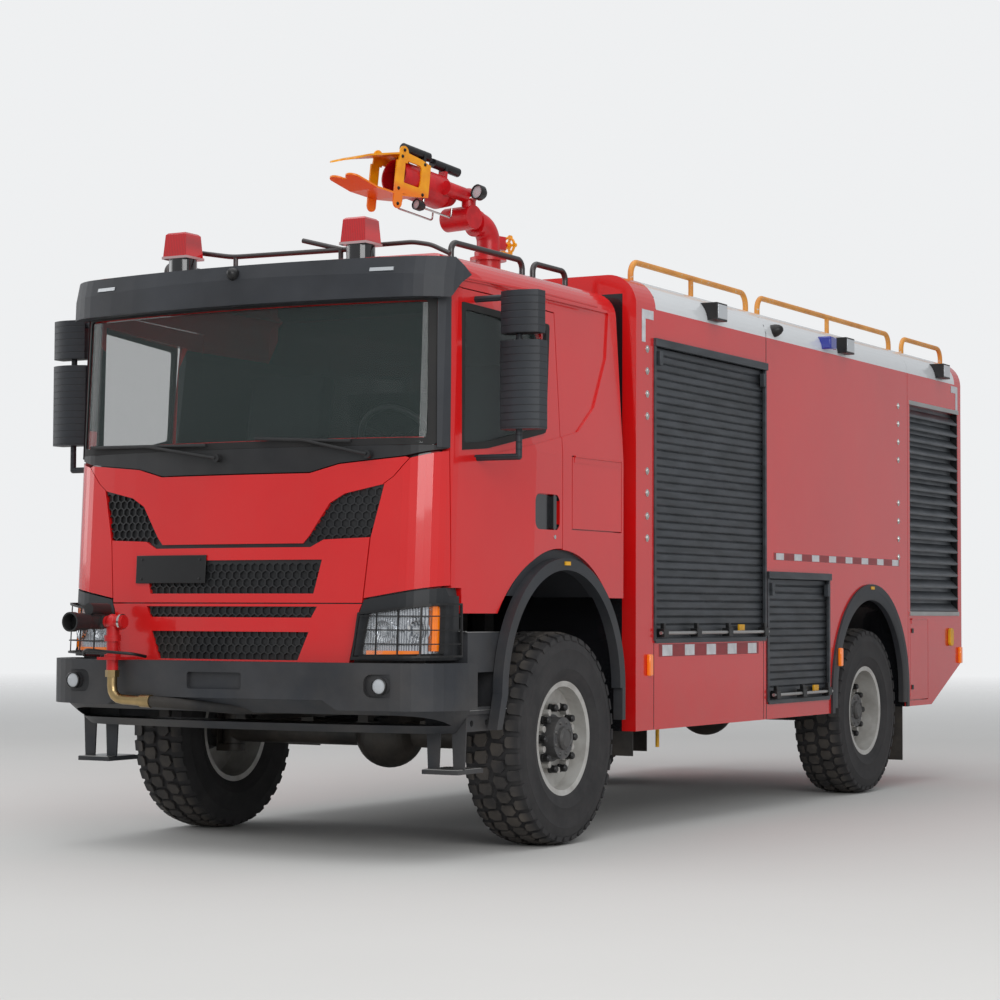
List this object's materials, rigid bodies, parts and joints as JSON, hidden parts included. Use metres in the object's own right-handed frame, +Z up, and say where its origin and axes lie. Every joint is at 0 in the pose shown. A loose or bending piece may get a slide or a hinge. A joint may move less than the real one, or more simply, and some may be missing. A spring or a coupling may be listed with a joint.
{
  "type": "airport fire truck",
  "caption": "Two-axle all-wheel-drive airport fire truck with a forward-control cab, a roof monitor, a bumper monitor and a shuttered equipment body.",
  "frame": {"origin": "on the ground under the middle of the overall box", "axes": "+Z up, the truck faces -Y, +X is the truck's left side"},
  "size_m": [3.042, 8.114, 3.9239],
  "materials": {
    "chassis_paint": "satin black chassis paint",
    "engine_metal": "painted castings",
    "wheel_silver": "silver wheel paint",
    "tyre": "matt tyre rubber",
    "red_paint": "gloss red paint",
    "glass": "tinted safety glass",
    "grey_plastic": "grained dark grey plastic",
    "black_plastic": "black moulded plastic",
    "black_steel": "black powder coat",
    "lamp_lens": "clear lamp lens over chrome",
    "seat_fabric": "dark seat cloth",
    "dark_grey_metal": "dark grey coated slats",
    "black_rubber": "black rubber sheet",
    "yellow_paint": "orange-yellow paint",
    "lamp_housing": "black lamp housing",
    "dark_steel": "dark grey tube",
    "red_lens": "red beacon lens on a black base",
    "aluminium": "bare aluminium",
    "monitor_red": "red coated water way"
  },
  "bodies": {
    "chassis": {"frame": "chassis_paint", "engine_block": "engine_metal", "front_axle": "chassis_paint", "rear_axle": "chassis_paint", "cab_shell": "red_paint", "windscreen": "glass", "sun_visor": "grey_plastic", "front_hatch": "red_paint", "hatch_grilles": "black_plastic", "front_panel": "red_paint", "lower_grille": "black_plastic", "bumper": "grey_plastic", "headlamps": "lamp_lens", "lamp_guards": "black_steel", "wipers": "black_plastic", "cab_steps": "grey_plastic", "front_arches": "grey_plastic", "seats": "seat_fabric", "dashboard": "black_plastic", "body_shell": "red_paint", "rear_section": "red_paint", "louvres": "dark_grey_metal", "shutters": "dark_grey_metal", "rear_arches": "grey_plastic", "mudflaps": "black_rubber", "roof_rails": "yellow_paint", "side_lamps": "lamp_housing", "cab_rails": "dark_steel", "beacons": "red_lens", "ladder": "aluminium", "monitor_base": "monitor_red", "bumper_monitor_base": "monitor_red", "tail_lamps": "red_lens"},
    "steering_left": {"knuckle_left": "chassis_paint"},
    "steering_right": {"knuckle_right": "chassis_paint"},
    "front_left_wheel": {"wheel_front_left": "wheel_silver", "tyre_front_left": "tyre"},
    "front_right_wheel": {"wheel_front_right": "wheel_silver", "tyre_front_right": "tyre"},
    "rear_left_wheel": {"wheel_rear_left": "wheel_silver", "tyre_rear_left": "tyre"},
    "rear_right_wheel": {"wheel_rear_right": "wheel_silver", "tyre_rear_right": "tyre"},
    "left_door": {"door_left": "red_paint", "glass_left": "glass", "mirrors_left": "grey_plastic"},
    "right_door": {"door_right": "red_paint", "glass_right": "glass", "mirrors_right": "grey_plastic"},
    "roof_monitor_turn": {"monitor_turn": "monitor_red"},
    "roof_monitor_barrel": {"monitor_barrel": "monitor_red"},
    "front_monitor_turn": {"bumper_monitor_turn": "monitor_red"},
    "front_monitor_nozzle": {"bumper_nozzle": "grey_plastic"},
    "manhole_lid": {"roof_lid": "aluminium"},
    "left_flap": {"service_flap_left": "red_paint"},
    "right_flap": {"service_flap_right": "red_paint"},
    "left_locker": {"cab_flap_left": "red_paint"},
    "right_locker": {"cab_flap_right": "red_paint"}
  },
  "joints": [
    {"name": "steer_left", "type": "hinge", "parent": "chassis", "child": "steering_left", "pos_m": [0.92, -2.327, 0.56], "axis": [0, 0, 1], "range_deg": [-35, 35]},
    {"name": "steer_right", "type": "hinge", "parent": "chassis", "child": "steering_right", "pos_m": [-0.92, -2.327, 0.56], "axis": [0, 0, 1], "range_deg": [-35, 35]},
    {"name": "spin_front_left", "type": "hinge", "parent": "steering_left", "child": "front_left_wheel", "pos_m": [1.05, -2.327, 0.56], "axis": [1, 0, 0], "continuous": true},
    {"name": "spin_front_right", "type": "hinge", "parent": "steering_right", "child": "front_right_wheel", "pos_m": [-1.05, -2.327, 0.56], "axis": [1, 0, 0], "continuous": true},
    {"name": "spin_rear_left", "type": "hinge", "parent": "chassis", "child": "rear_left_wheel", "pos_m": [1.05, 2.108, 0.56], "axis": [1, 0, 0], "continuous": true},
    {"name": "spin_rear_right", "type": "hinge", "parent": "chassis", "child": "rear_right_wheel", "pos_m": [-1.05, 2.108, 0.56], "axis": [1, 0, 0], "continuous": true},
    {"name": "open_left_door", "type": "hinge", "parent": "chassis", "child": "left_door", "pos_m": [1.139, -3.4194, 1.8], "axis": [0, 0, -1], "range_deg": [0, 70]},
    {"name": "open_right_door", "type": "hinge", "parent": "chassis", "child": "right_door", "pos_m": [-1.139, -3.4194, 1.8], "axis": [0, 0, 1], "range_deg": [0, 70]},
    {"name": "turn_roof_monitor", "type": "hinge", "parent": "chassis", "child": "roof_monitor_turn", "pos_m": [0, -1.043, 3.345], "axis": [0, 0, 1], "range_deg": [-120, 120]},
    {"name": "lift_roof_barrel", "type": "hinge", "parent": "roof_monitor_turn", "child": "roof_monitor_barrel", "pos_m": [-0.06237, -1.33644, 3.54], "axis": [-0.9781, 0.2079, 0], "range_deg": [-17, 68]},
    {"name": "turn_front_monitor", "type": "hinge", "parent": "chassis", "child": "front_monitor_turn", "pos_m": [-0.62, -3.827, 1.08], "axis": [0, 0, 1], "range_deg": [-45, 45]},
    {"name": "lift_front_nozzle", "type": "hinge", "parent": "front_monitor_turn", "child": "front_monitor_nozzle", "pos_m": [-0.712, -3.827, 1.165], "axis": [-1, 0, 0], "range_deg": [-15, 60]},
    {"name": "open_manhole_lid", "type": "hinge", "parent": "chassis", "child": "manhole_lid", "pos_m": [0, 0.88, 3.1583], "axis": [-1, 0, 0], "range_deg": [0, 100]},
    {"name": "open_left_flap", "type": "hinge", "parent": "chassis", "child": "left_flap", "pos_m": [1.255, 3.042, 1.183], "axis": [0, -1, 0], "range_deg": [0, 95]},
    {"name": "open_right_flap", "type": "hinge", "parent": "chassis", "child": "right_flap", "pos_m": [-1.255, 3.042, 1.183], "axis": [0, 1, 0], "range_deg": [0, 95]},
    {"name": "open_left_locker", "type": "hinge", "parent": "chassis", "child": "left_locker", "pos_m": [1.22, -1.987, 2.049], "axis": [0, -1, 0], "range_deg": [0, 90]},
    {"name": "open_right_locker", "type": "hinge", "parent": "chassis", "child": "right_locker", "pos_m": [-1.22, -1.987, 2.049], "axis": [0, 1, 0], "range_deg": [0, 90]}
  ],
  "couplings": [
    {"joint": "steer_right", "follows": "steer_left", "ratio": 1}
  ]
}
